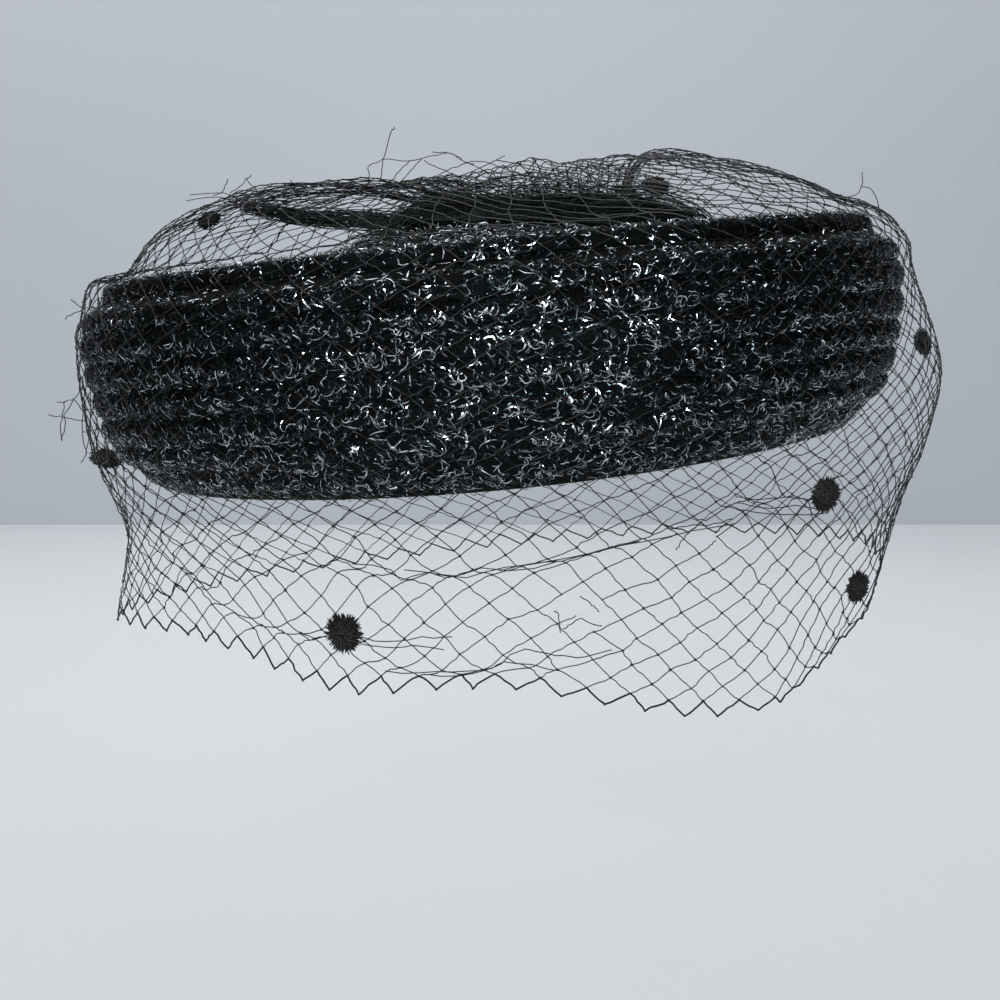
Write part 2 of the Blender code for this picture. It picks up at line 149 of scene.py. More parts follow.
INNER_SHIFTS = (0.70, 0.36, 0.12)

# Dots: angle in degrees, share of the path from the gather to the hem, size, and how many
# degrees the net's folds lean it towards the hem
DOT_DIAMETER = 0.0096
DOT_THICKNESS = 0.0058
DOT_REST = 0.55
TUFT_SPIKES = 800
TUFT_RINGS = 12
TUFT_SIDES = 20
Dot = namedtuple("Dot", "angle path size lean")
DOTS = (
    Dot(250, 0.358, 0.80, 0),
    Dot(234, 0.526, 0.85, 0),
    Dot(141, 0.301, 1.00, 0),
    Dot(99, 0.665, 0.85, 0),
    Dot(262, 0.774, 1.05, 60),
    Dot(45, 0.752, 1.00, 0),
    Dot(59, 0.907, 0.95, 0),
    Dot(335, 0.922, 1.10, 0),
    Dot(122, 0.610, 1.00, 0),
    Dot(156, 0.590, 1.00, 0),
    Dot(186, 0.720, 1.00, 0),
    Dot(211, 0.585, 0.95, 0),
    Dot(236, 0.700, 1.00, 0),
)

# Fine net: diamonds round the hem, and rows of knots from the gather to the top corner and
# from there to the hem. A row is turned against the one above it by the shear, in diamonds
NET_COLUMNS = 62
TOP_NET_ROWS = 16
WALL_NET_ROWS = 32
NET_ROWS = TOP_NET_ROWS + WALL_NET_ROWS
CORNER_PATH = 0.44
TOP_SHEAR = 0.48
WALL_SHEAR = -0.09
NET_CLEARANCE = 0.0006
THREAD = 0.00018
HEM_THREAD = 0.00032
KNOT = 0.00046
THREAD_WAVE = 0.00015
THREAD_POINTS = 5
CROWN_RIPPLE = 0.0001
HANGING_RIPPLE = 0.0005
PUFFED_RIPPLE = 0.0006

# Folds draw the net towards a line. Each point of a line has an angle in degrees and a
# share of the path, the reach is in metres, and the pull is a share of the way
Fold = namedtuple("Fold", "reach pull line")
FOLDS = (
    Fold(0.0075, 0.80, (
        (296, 0.765), (299, 0.843), (300.5, 0.886), (307, 0.933), (315, 0.946), (333, 0.930),
    )),
    Fold(0.0060, 0.75, (
        (334, 0.843), (344, 0.860), (357, 0.853), (7, 0.833), (16, 0.799), (30, 0.746), (45, 0.757),
    )),
    Fold(0.0070, 0.75, ((38, 0.689), (47, 0.726), (57, 0.776), (70, 0.850), (82, 0.920))),
    Fold(0.0055, 0.70, ((338, 0.960), (347, 0.977), (354, 0.973), (2, 0.970))),
    Fold(0.0100, 0.70, ((40, 1.000), (49, 0.985), (68, 0.980), (86, 0.980))),
    Fold(0.0080, 0.60, ((248, 0.250), (262, 0.290), (285, 0.300))),
)
FOLD_RADIUS = 0.110
FOLD_PATH = 0.225

# Streak of bunched net from the left to the bunch: where the picture shows it, and the
# distance behind the hat's middle
STREAK = (
    (237, 204, 0.035), (262, 209, 0.040), (300, 215, 0.045),
    (345, 219, 0.045), (400, 221, 0.035), (450, 214, 0.020),
)
STREAK_THREADS = 170
STREAK_POINTS = 14
STREAK_SPREAD = (0.0005, 0.0040, 0.0013)
STREAK_WAVE = 0.00028

# Holes of the net: angle in degrees, share of the path, and radius in metres
Hole = namedtuple("Hole", "angle path radius")
HOLES = (Hole(8, 0.893, 0.0042), Hole(26, 0.786, 0.0036))

# Filaments of the braid
SIDE_FILAMENTS = 31000
TOP_FILAMENTS = 12000
COIL_FILAMENTS = 6000
FILAMENT_POINTS = 5
BRIGHT_SHARE = 0.38
BRIGHT_COLOURS = ((0.25, 0.27, 0.29), (0.45, 0.48, 0.51), (0.72, 0.76, 0.80))
DARK_COLOURS = ((0.004, 0.010, 0.012), (0.020, 0.030, 0.034), (0.06, 0.08, 0.09))
FILAMENT_LENGTH = (0.0017, 0.0046)
FILAMENT_WIDTH = (0.00020, 0.00037)

TURN_POINTS = 420
RIB_POINTS = 7


# Numbers

def spline(values, place, closed=False):
    """Smooth curve through evenly spaced values, read at places counted in values."""
    values = np.asarray(values, float)
    place = np.asarray(place, float)
    count = len(values)
    first = np.floor(place).astype(int)
    if not closed:
        first = np.clip(first, 0, count - 2)
    step = (place - first).reshape(place.shape + (1,) * (values.ndim - 1))

    def value(index):
        return values[index % count] if closed else values[np.clip(index, 0, count - 1)]

    before, start, end, after = (value(first + shift) for shift in (-1, 0, 1, 2))
    return 0.5 * (
        2 * start
        + (end - before) * step
        + (2 * before - 5 * start + 4 * end - after) * step ** 2
        + (3 * start - before - 3 * end + after) * step ** 3
    )


def unit(vectors):
    return vectors / np.maximum(np.linalg.norm(vectors, axis=-1, keepdims=True), 1e-12)


def round_hat(radius, angle, height):
    """Points at a radius, an angle and a height."""
    radius, angle, height = np.broadcast_arrays(radius, angle, height)
    return np.stack([radius * np.sin(angle), -radius * np.cos(angle), height], axis=-1)


# Meshes

def mesh_object(name, points, faces, material, slot, stands_for=()):
    """A piece of the hat, from arrays of points and of faces with equal numbers of corners."""
    mesh = bpy.data.meshes.new(name)
    mesh.from_pydata(points.reshape(-1, 3), [], faces.reshape(-1, faces.shape[-1]).tolist())
    mesh.materials.append(material)
    mesh.shade_smooth()
    piece = bpy.data.objects.new(name, mesh)
    bpy.context.scene.collection.objects.link(piece)
    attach(piece, "root")
    if stands_for:
        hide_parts(*stands_for)
    return piece


def ring_faces(count, steps, sides, closed):
    """Quads of many equal strips: each has steps rings of points, with sides points a ring."""
    ring = np.arange(steps - 1)[:, None] * sides
    side = np.arange(sides if closed else sides - 1)[None, :]
    after = (side + 1) % sides
    quads = np.stack([ring + side, ring + after, ring + sides + after, ring + sides + side], axis=-1)
    starts = np.arange(count)[:, None, None, None] * steps * sides
    return (quads[None] + starts).reshape(-1, 4)


def strand_points(lines, radius, sides=3):
    """Rings of points round many lines of equal length, and the quads between them."""
    tangent = np.gradient(lines, axis=1)
    tangent = unit(tangent)
    lean = np.abs(tangent.mean(axis=1)).argmin(axis=-1)
    across = unit(np.cross(tangent, np.eye(3)[lean][:, None, :]))
    other = np.cross(tangent, across)
    turn = np.arange(sides) * 2 * math.pi / sides
    radius = np.broadcast_to(np.asarray(radius, float), lines.shape[:2])[..., None, None]
    circle = across[:, :, None] * np.cos(turn)[:, None] + other[:, :, None] * np.sin(turn)[:, None]
    points = lines[:, :, None] + circle * radius
    return points, ring_faces(len(lines), lines.shape[1], sides, True)


def joined(parts):
    """One array of points and one of faces from several."""
    points = []
    faces = []
    start = 0
    for part_points, part_faces in parts:
        flat = part_points.reshape(-1, 3)
        points.append(flat)
        faces.append(part_faces + start)
        start += len(flat)
    return np.concatenate(points), np.concatenate(faces)


# Materials

def new_material(name, colour, roughness, **sockets):
    material = bpy.data.materials.new(name)
    material.use_nodes = True
    shader = material.node_tree.nodes["Principled BSDF"]
    shader.inputs["Base Color"].default_value = (*colour, 1.0)
    shader.inputs["Roughness"].default_value = roughness
    for socket, value in sockets.items():
        shader.inputs[socket.replace("_", " ")].default_value = value
    return material


def noise_node(material, scale, detail=2.0):
    nodes = material.node_tree.nodes
    links = material.node_tree.links
    place = nodes.new("ShaderNodeTexCoord")
    noise = nodes.new("ShaderNodeTexNoise")
    noise.inputs["Scale"].default_value = scale
    noise.inputs["Detail"].default_value = detail
    links.new(place.outputs["Object"], noise.inputs["Vector"])
    return noise


def mottle(material, scale, *colours):
    """Colours that change over the surface, evenly spread along a noise."""
    nodes = material.node_tree.nodes
    links = material.node_tree.links
    ramp = nodes.new("ShaderNodeValToRGB")
    low, high = 0.34, 0.66
    while len(ramp.color_ramp.elements) < len(colours):
        ramp.color_ramp.elements.new(0.5)
    for index, colour in enumerate(colours):
        element = ramp.color_ramp.elements[index]
        element.position = low + (high - low) * index / (len(colours) - 1)
        element.color = (*colour, 1.0)
    links.new(noise_node(material, scale).outputs["Fac"], ramp.inputs["Fac"])
    links.new(ramp.outputs["Color"], nodes["Principled BSDF"].inputs["Base Color"])


def vary_roughness(material, scale, low, high):
    nodes = material.node_tree.nodes
    links = material.node_tree.links
    spread = nodes.new("ShaderNodeMapRange")
    spread.inputs["From Min"].default_value = 0.3
    spread.inputs["From Max"].default_value = 0.7
    spread.inputs["To Min"].default_value = low
    spread.inputs["To Max"].default_value = high
    links.new(noise_node(material, scale).outputs["Fac"], spread.inputs["Value"])
    links.new(spread.outputs["Result"], nodes["Principled BSDF"].inputs["Roughness"])


def roughen(material, scale, depth, detail=3.0):
    """Fine bumps."""
    nodes = material.node_tree.nodes
    links = material.node_tree.links
    bump = nodes.new("ShaderNodeBump")
    bump.inputs["Distance"].default_value = depth
    links.new(noise_node(material, scale, detail).outputs["Fac"], bump.inputs["Height"])
    links.new(bump.outputs["Normal"], nodes["Principled BSDF"].inputs["Normal"])


def braid_body_material():
    material = new_material("braid_ground", (0.002, 0.003, 0.004), 0.7, Specular_IOR_Level=0.08)
    mottle(material, 60.0, (0.0002, 0.0005, 0.0008), (0.0006, 0.0014, 0.0018), (0.0012, 0.0030, 0.0034))
    roughen(material, 900.0, 0.0006)
    return material


def filament_material(name, *colours):
    """Cellophane straw: black, and as shiny as dark metal."""
    material = new_material(name, colours[0], 0.25, Metallic=1.0)
    mottle(material, 500.0, *colours)
    vary_roughness(material, 400.0, 0.16, 0.30)
    return material


def net_material():
    material = new_material("net_thread", (0.004, 0.005, 0.006), 0.38, Specular_IOR_Level=0.42)
    mottle(material, 300.0, (0.002, 0.003, 0.004), (0.008, 0.009, 0.011))
    vary_roughness(material, 900.0, 0.3, 0.55)
    return material


def bunched_material():
    material = new_material("bunched_net", (0.004, 0.008, 0.008), 0.6, Specular_IOR_Level=0.16)
    mottle(material, 130.0, (0.002, 0.004, 0.004), (0.004, 0.010, 0.010), (0.008, 0.020, 0.018))
    roughen(material, 1400.0, 0.0005)
    return material


def chenille_material():
    material = new_material(
        "chenille", (0.004, 0.004, 0.004), 0.9,
        Specular_IOR_Level=0.2, Sheen_Weight=0.15, Sheen_Roughness=0.4,
    )
    mottle(material, 900.0, (0.002, 0.002, 0.002), (0.007, 0.007, 0.008))
    roughen(material, 2500.0, 0.0003)
    return material


# Braid: its surface is a profile that is turned about Z

SIDE_LEVELS = np.array([0.0] + [(row + 0.5) * ROW_PITCH for row in range(len(SIDE_ROWS))] + [SIDE_HEIGHT])
SIDE_SHARES = np.array([WALL_RIM] + list(reversed(SIDE_ROWS)) + [WALL_TOP])


def side_crest(level):
    """Radius of the curve that touches the crests of the side rows."""
    place = np.interp(level, SIDE_LEVELS, np.arange(len(SIDE_LEVELS)))
    return CROWN_RADIUS * spline(SIDE_SHARES, place)


def coil_crest(radius):
    """Height of the curve that touches the crests of the coil's rows."""
    shares = np.array([row.radius for row in reversed(COIL_ROWS)])
    rises = np.array([row.rise for row in reversed(COIL_ROWS)])
    place = np.interp(np.minimum(radius / COIL_RADIUS, 1.0), shares, np.arange(len(shares)))
    return TOP_Z + COIL_HEIGHT * spline(rises, place)


def rib(share):
    """Depth of the braid's surface below its crest, at a share of the row's width."""
    return RIB_RELIEF * (2 * share - 1) ** 2


def rim_lift(angle, level):
    fade = np.maximum(0.0, 1.0 - level / (SIDE_HEIGHT * LIFT_REACH))
    return RIM_LIFT * np.sin(angle) ** 2 * fade ** LIFT_FADE


def side_profile(points=RIB_POINTS):
    """Outer surface of the wall, from its top to the rim, as radius and height."""
    place = np.arange(len(SIDE_ROWS) * points + 1) / points
    level = SIDE_HEIGHT - place * ROW_PITCH
    return np.stack([side_crest(level) - rib(place % 1.0), level], axis=-1)


def side_inside():
    level = np.linspace(0.0, SIDE_HEIGHT, 2 * len(SIDE_ROWS) + 1)
    return np.stack([side_crest(level) - RIB_RELIEF - BRAID_WALL, level], axis=-1)


CORNER_MIDDLE = CROWN_RADIUS * CORNER_ROW - CORNER_ROUND


def top_profile(points=RIB_POINTS):
    """Upper surface of the top, from the coil out over the corner row to its foot."""
    outermost = CORNER_MIDDLE - CORNER_ROUND
    pitch = (outermost - COIL_RADIUS) / FLAT_ROWS
    place = np.arange(FLAT_ROWS * points) / points
    flat = np.stack([COIL_RADIUS + place * pitch, TOP_Z - rib(place % 1.0)], axis=-1)
    share = np.arange(points // 2 + 1) / points
    rise = np.stack([outermost + 2 * CORNER_ROUND * share, TOP_Z - rib(share)], axis=-1)
    level = TOP_Z - CORNER_ROUND
    foot = math.asin((SIDE_HEIGHT + GAP - level) / CORNER_ROUND)
    turn = np.linspace(math.pi / 2, foot, points + 1)
    over = np.stack([
        CORNER_MIDDLE + CORNER_ROUND * np.cos(turn), level + CORNER_ROUND * np.sin(turn),
    ], axis=-1)
    return np.concatenate([flat, rise, over])


def top_inside():
    underside = TOP_Z - RIB_RELIEF - BRAID_WALL
    inner = side_crest(SIDE_HEIGHT) - RIB_RELIEF - BRAID_WALL - CORNER_FOOT
    return np.array([[inner, SIDE_HEIGHT + GAP], [inner - BRAID_WALL, underside], [COIL_RADIUS, underside]])


def coil_profile(points=RIB_POINTS):
    """Upper surface of the coil, from its middle outwards."""
    rows = len(COIL_ROWS) - 1
    place = np.arange(rows * points + 1) / points
    radius = (COIL_RADIUS + COIL_OVERLAP) * place / rows
    return np.stack([radius, coil_crest(radius) - rib(place % 1.0)], axis=-1)


def coil_inside():
    radius = np.linspace(COIL_RADIUS + COIL_OVERLAP, 0.0, len(COIL_ROWS))
    return np.stack([radius, coil_crest(radius) - RIB_RELIEF - BRAID_WALL], axis=-1)


def braid_body(name, outer, inside, node, slot, material, turns=TURN_POINTS, seed=1):
    """Solid ground of the braid, with small uneven bumps along its rows."""
    random = np.random.default_rng(seed)
    profile = np.concatenate([outer, inside])
    angle = np.linspace(0.0, 2 * math.pi, turns, endpoint=False)[:, None]
    bump = np.zeros((turns, len(profile)))
    for wave in BUMP_WAVES:
        phase = random.uniform(0, 2 * math.pi, len(profile)) * 0.6 + random.uniform(0, 6)
        bump += np.sin(angle * wave + phase)
    bump *= BUMP_DEPTH
    bump[:, len(outer):] = 0.0
    radius = np.maximum(profile[None, :, 0] + bump, 0.0)
    height = np.broadcast_to(profile[None, :, 1], radius.shape)
    if node == "crown_side":
        height = height + rim_lift(angle, height)
    points = round_hat(radius, np.broadcast_to(angle, radius.shape), height)
    count = len(profile)
    ring = np.arange(turns)[:, None]
    after = (ring + 1) % turns
    side = np.arange(count)[None, :]
    if node == "top_coil":
        side = side[:, :-1]
    beside = (side + 1) % count
    faces = np.stack([
        ring * count + side, after * count + side, after * count + beside, ring * count + beside,
    ], axis=-1).reshape(-1, 4)
    piece = mesh_object(name, points, faces, material, slot, (node,))
    return piece


class Braid:
    """Surface of the braid, read by the distance along its profile."""

    def __init__(self, profile, lifted=False):
        steps = np.linalg.norm(np.diff(profile, axis=0), axis=1)
        self.arc = np.concatenate([[0.0], np.cumsum(steps)])
        self.profile = profile
        along = np.gradient(profile, axis=0)
        along /= np.linalg.norm(along, axis=1, keepdims=True)
        self.normal = np.stack([along[:, 1], -along[:, 0]], axis=-1)
        self.lifted = lifted

    def flip(self):
        self.normal = -self.normal
        return self

    def read(self, values, arc):
        return np.interp(arc, self.arc, values)

    def points(self, angle, arc, height):
        radius = self.read(self.profile[:, 0], arc) + height * self.read(self.normal[:, 0], arc)
        level = self.read(self.profile[:, 1], arc) + height * self.read(self.normal[:, 1], arc)
        if self.lifted:
            level = level + rim_lift(angle, level)
        return round_hat(radius, angle, level)

    def normals(self, angle, arc):
        out = self.read(self.normal[:, 0], arc)
        up = self.read(self.normal[:, 1], arc)
        return unit(round_hat(out, angle, up))


def filaments(braid, rows, count, random, angles=(0.0, 2 * math.pi)):
    """Curled shiny ribbons that lie on the braid, thickest on the crest of each row."""
    centre = random.choice(rows, count)
    spread = random.normal(0.0, 0.33, count)
    pitch = np.abs(np.diff(rows)).mean()
    arc_start = centre + spread * pitch
    angle_start = random.uniform(*angles, count)
    length = random.uniform(*FILAMENT_LENGTH, count) * random.choice([0.7, 1.0, 1.4], count)
    step = length / (FILAMENT_POINTS - 1)
    kind = random.random(count)
    heading = np.where(kind < 0.45, math.radians(-50), np.where(kind < 0.70, math.radians(40), 0.0))
    heading = heading + random.normal(0.0, 0.6, count)
    curl = random.normal(0.0, 0.60, count)
    radius = np.maximum(braid.read(braid.profile[:, 0], arc_start), 0.004)
    angle = [angle_start]
    arc = [arc_start]
    for _ in range(FILAMENT_POINTS - 1):
        angle.append(angle[-1] + step * np.cos(heading) / radius)
        arc.append(arc[-1] - step * np.sin(heading))
        heading = heading + curl + random.normal(0.0, 0.25, count)
    angle = np.stack(angle, axis=1)
    arc = np.clip(np.stack(arc, axis=1), braid.arc[0], braid.arc[-1])
    share = np.linspace(0.0, 1.0, FILAMENT_POINTS)[None, :]
    rise = random.uniform(0.0001, 0.0009, count)[:, None]
    height = 0.0002 + rise * np.sin(share * math.pi) + random.normal(0.0, 0.00010, angle.shape)
    line = braid.points(angle, arc, height)
    normal = braid.normals(angle, arc)
    tangent = unit(np.gradient(line, axis=1))
    across = unit(np.cross(tangent, normal))
    up = np.cross(across, tangent)
    twist = random.normal(0.0, 0.26, count)[:, None] + random.normal(0.0, 0.4, count)[:, None] * (share - 0.5)
    twist = twist[..., None]
    side = across * np.cos(twist) + up * np.sin(twist)
    narrowed = 1.0 - 0.5 * np.abs(2 * share - 1)[..., None] ** 3
    width = random.uniform(*FILAMENT_WIDTH, count)[:, None, None] * narrowed
    points = np.stack([line - side * width / 2, line + side * width / 2], axis=2)
    return points, ring_faces(count, FILAMENT_POINTS, 2, False)


def row_arcs(braid, rows, points=RIB_POINTS):
    """Distance along the profile of the crest of each row."""
    return np.interp((np.arange(rows) + 0.5) * points, np.arange(len(braid.arc)), braid.arc)


def lay_filaments(name, braid, rows, count, random, materials, slot, angles=(0.0, 2 * math.pi)):
    """Bright and dark filaments, mixed on one stretch of the braid."""
    for kind, share in (("bright", BRIGHT_SHARE), ("dark", 1 - BRIGHT_SHARE)):
        points, faces = filaments(braid, rows, round(count * share), random, angles)
        mesh_object(f"{name}_{kind}", points, faces, materials[kind], slot)


def make_crown(materials):
    random = np.random.default_rng(7)
    ground = materials["ground"]
    side = side_profile()
    top = top_profile()
    coil = coil_profile()
    braid_body("side_ground", side, side_inside(), "crown_side", "side_braid", ground)
    braid_body("top_ground", top, top_inside(), "crown_top", "top_braid", ground, seed=2)
    braid_body("coil_ground", coil, coil_inside(), "top_coil", "coil_braid", ground, 300, seed=3)

    wall = Braid(side, lifted=True).flip()
    wall_rows = row_arcs(wall, len(SIDE_ROWS))
    share = SIDE_FILAMENTS // 4
    for part, name in enumerate(("front_filaments", "right_filaments", "back_filaments", "left_filaments")):
        middle = part * math.pi / 2
        angles = (middle - math.pi / 4, middle + math.pi / 4)
        lay_filaments(name, wall, wall_rows, share, random, materials, "side_braid", angles)

    deck = Braid(top)
    if deck.normal[0, 1] < 0:
        deck.flip()
    corner = deck.arc[-RIB_POINTS - 1]
    deck_rows = np.append(row_arcs(deck, FLAT_ROWS), [corner, corner, deck.arc[-3]])
    lay_filaments("top_filaments", deck, deck_rows, TOP_FILAMENTS, random, materials, "top_braid")
    mound = Braid(coil)
    if mound.normal[len(coil) // 2, 1] < 0:
        mound.flip()
    mound_rows = row_arcs(mound, len(COIL_ROWS) - 1)
    lay_filaments("coil_filaments", mound, mound_rows, COIL_FILAMENTS, random, materials, "coil_braid")


# Veil's sheet

def gather_middle(x):
    crest = TOP_Z + COIL_HEIGHT + GATHER_COVER
    return crest - GATHER_HEIGHT - (x - GATHER_SHIFT) * math.tan(GATHER_TILT)


def gather_top(x, y):
    """Height of the bunch's upper surface over a place inside its outline."""
    along = (x - GATHER_SHIFT) / (GATHER_LENGTH / 2)
    across = y / (GATHER_DEPTH / 2)
    left = np.maximum(0.0, 1.0 - np.abs(along) ** SQUARENESS - np.abs(across) ** SQUARENESS)
    return gather_middle(x) + GATHER_HEIGHT * left ** (1 / SQUARENESS)


class Sheet:
    """The veil's sheet, worked out once on a grid of angles and path shares."""

    ANGLES = 360
    SHARES = 240
    PATH_POINTS = 90

    def __init__(self):
        angle = np.arange(self.ANGLES) * 2 * math.pi / self.ANGLES
        stations = self.stations(angle)
        place = np.linspace(0, len(stations) - 1, self.PATH_POINTS + 1)
        path = spline(stations, place)
        steps = np.linalg.norm(np.diff(path, axis=0), axis=-1)
        length = np.concatenate([np.zeros((1, self.ANGLES)), np.cumsum(steps, axis=0)])
        share = np.linspace(0.0, 1.0, self.SHARES)
        self.grid = np.empty((self.ANGLES, self.SHARES, 3))
        for column in range(self.ANGLES):
            along = share * length[-1, column]
            for axis in range(3):
                self.grid[column, :, axis] = np.interp(along, length[:, column], path[:, column, axis])

    @staticmethod
    def stations(angle):
        """Points of the sheet's path from the gather to the hem, for each angle."""
        place = angle / (2 * math.pi) * len(SECTIONS)
        column = {
            name: spline([getattr(row, name) for row in SECTIONS], place, True)
            for name in Section._fields[1:]
        }
        found = []

        def add(radius, height, shift=0.0):
            found.append(round_hat(radius, angle, height) + np.array([shift, 0.0, 0.0]))

        ring = round_hat(RING_RADIUS * CROWN_RADIUS, angle, 0.0)
        ring_shift = GATHER_SHIFT * INNER_SHIFTS[0]
        lift = GAP + VEIL_WALL / 2
        add(RING_RADIUS * CROWN_RADIUS, gather_top(ring[:, 0] + ring_shift, ring[:, 1]) + lift, ring_shift)
        for name, radius, shift in zip(Section._fields[1:5], PUFF_RADII, (*INNER_SHIFTS[1:], 0.0, 0.0)):
            add(radius * CROWN_RADIUS, TOP_Z + VEIL_PUFF * column[name], shift * GATHER_SHIFT)
        add(CORNER_RADIUS * CROWN_RADIUS, TOP_Z + 2 * NET_CLEARANCE)
        levels = (SHOULDER_LEVEL, UPPER_LEVEL, BELLY_LEVEL, RIM_LEVEL)
        for name, level in zip(("shoulder", "upper", "belly", "rim"), levels):
            add(CROWN_RADIUS * column[name] + NET_CLEARANCE, TOP_Z * level)
        drop = VEIL_DROP * column["drop"]
        add(CROWN_RADIUS * column["hang"], -drop * HANG_LEVEL)
        add(CROWN_RADIUS * column["hem"], -drop)
        return np.stack(found)

    def point(self, angle, share):
        angle, share = np.broadcast_arrays(angle, share)
        turn = (angle / (2 * math.pi) * self.ANGLES) % self.ANGLES
        left = np.floor(turn).astype(int) % self.ANGLES
        right = (left + 1) % self.ANGLES
        across = (turn - np.floor(turn))[..., None]
        down = np.clip(share, 0.0, 1.0) * (self.SHARES - 1)
        upper = np.minimum(np.floor(down).astype(int), self.SHARES - 2)
        along = (down - upper)[..., None]
        above = self.grid[left, upper] * (1 - across) + self.grid[right, upper] * across
        below = self.grid[left, upper + 1] * (1 - across) + self.grid[right, upper + 1] * across
        return above * (1 - along) + below * along

    def normal(self, angle, share, step=0.01):
        around = self.point(angle + step, share) - self.point(angle - step, share)
        down = self.point(angle, share + step) - self.point(angle, share - step)
        return unit(np.cross(down, around))


def row_share(row):
    """Share of the path at a row of knots."""
    return np.interp(row, (0, TOP_NET_ROWS, NET_ROWS), (0.0, CORNER_PATH, 1.0))


def row_turn(row):
    """Turn of a row of knots, in diamonds."""
    return np.minimum(row, TOP_NET_ROWS) * TOP_SHEAR + np.maximum(row - TOP_NET_ROWS, 0) * WALL_SHEAR


def turn_between(start, end):
    return (end - start + math.pi) % (2 * math.pi) - math.pi


def folded(angle, share):
    """Angles and shares after the folds have drawn them towards their lines."""
    for fold in FOLDS:
        middle = math.radians(fold.line[len(fold.line) // 2][0])
        place = np.stack([turn_between(middle, angle) * FOLD_RADIUS, share * FOLD_PATH], axis=-1)
        line = [
            np.array([turn_between(middle, math.radians(turn)) * FOLD_RADIUS, path * FOLD_PATH])
            for turn, path in fold.line
        ]
        nearest = np.full(place.shape, 1.0)
        for start, end in zip(line, line[1:]):
            along = np.clip((place - start) @ (end - start) / ((end - start) @ (end - start)), 0.0, 1.0)
            way = start + along[..., None] * (end - start) - place
            closer = np.linalg.norm(way, axis=-1) < np.linalg.norm(nearest, axis=-1)
            nearest = np.where(closer[..., None], way, nearest)
        strength = fold.pull * np.exp(-((np.linalg.norm(nearest, axis=-1) / fold.reach) ** 2))
        place = place + nearest * strength[..., None]
        angle = middle + place[..., 0] / FOLD_RADIUS
        share = place[..., 1] / FOLD_PATH
    return angle, share


def in_hole(angle, share):
    found = np.zeros(angle.shape, bool)
    for hole in HOLES:
        across = turn_between(math.radians(hole.angle), angle) * FOLD_RADIUS
        down = (share - hole.path) * FOLD_PATH
        found |= np.hypot(across, down) < hole.radius
    return found


def ripple(angle, share):
    """How far the net stands off its sheet: soft waves, larger where it hangs free."""
    waves = np.sin(5 * angle + 9 * share) + np.sin(11 * angle - 14 * share + 1.3)
    waves += 0.6 * np.sin(23 * angle + 31 * share)
    hanging = np.clip((share - 0.74) / 0.1, 0, 1)
    puffed = np.clip((CORNER_PATH - share) / 0.1, 0, 1)
    return waves * (CROWN_RIPPLE + HANGING_RIPPLE * hanging + PUFFED_RIPPLE * puffed)


def make_net(sheet, materials):
    """Fine net of diamonds: threads with a slight wave, tied in knots."""
    random = np.random.default_rng(21)
    column = np.arange(NET_COLUMNS)[None, :]
    row = np.arange(NET_ROWS + 1)[:, None]
    share = np.broadcast_to(row_share(row), (NET_ROWS + 1, NET_COLUMNS)).copy()
    angle = (column + 0.5 * (row % 2) + row_turn(row)) * 2 * math.pi / NET_COLUMNS
    angle += random.normal(0.0, 0.0050, angle.shape)
    inner = (row > 0) & (row < NET_ROWS)
    share += random.normal(0.0, 0.0014, share.shape) * inner

    def place(angle, share):
        angle, share = folded(angle, share)
        return sheet.point(angle, share) + sheet.normal(angle, share) * ripple(angle, share)[..., None]

    knots = place(angle, share)
    whole = ~in_hole(angle, share)
    lines = []
    hems = []
    for level in range(NET_ROWS):
        offset = level % 2
        for step in (-1 + offset, offset):
            other = (np.arange(NET_COLUMNS) + step) % NET_COLUMNS
            turn = turn_between(angle[level], angle[level + 1, other])
            part = np.linspace(0.0, 1.0, THREAD_POINTS)[None, :]
            line_angle = angle[level][:, None] + turn[:, None] * part
            line_share = share[level][:, None] + (share[level + 1, other] - share[level])[:, None] * part
            line = place(line_angle, line_share)
            line[:, 1:-1] += random.normal(0.0, THREAD_WAVE, line[:, 1:-1].shape)
            kept = ~in_hole(line_angle.mean(axis=1), line_share.mean(axis=1))
            (hems if level == NET_ROWS - 1 else lines).append(line[kept])
    lines = np.concatenate(lines)
    hems = np.concatenate(hems)
    right = lines.mean(axis=1)[:, 0] > 0
    octahedron = np.array([[1, 0, 0], [-1, 0, 0], [0, 1, 0], [0, -1, 0], [0, 0, 1], [0, 0, -1]], float)
    corners = np.array([
        [0, 2, 4], [2, 1, 4], [1, 3, 4], [3, 0, 4], [2, 0, 5], [1, 2, 5], [3, 1, 5], [0, 3, 5],
    ])
    flat = knots[whole]
    blob = flat[:, None] + octahedron * KNOT * random.uniform(0.6, 1.2, (len(flat), 1, 1))
    blob_faces = corners[None] + np.arange(len(flat))[:, None, None] * 6
    mesh_object("net_right", *strand_points(lines[right], THREAD), materials["net"], "veil_net", ("veil",))
    mesh_object("net_left", *strand_points(lines[~right], THREAD), materials["net"], "veil_net", ("veil",))
    mesh_object("net_hem", *strand_points(hems, HEM_THREAD), materials["net"], "veil_net", ("veil",))
    mesh_object("net_knots", blob, blob_faces.reshape(-1, 3), materials["net"], "veil_net", ("veil",))


# Bunch of net

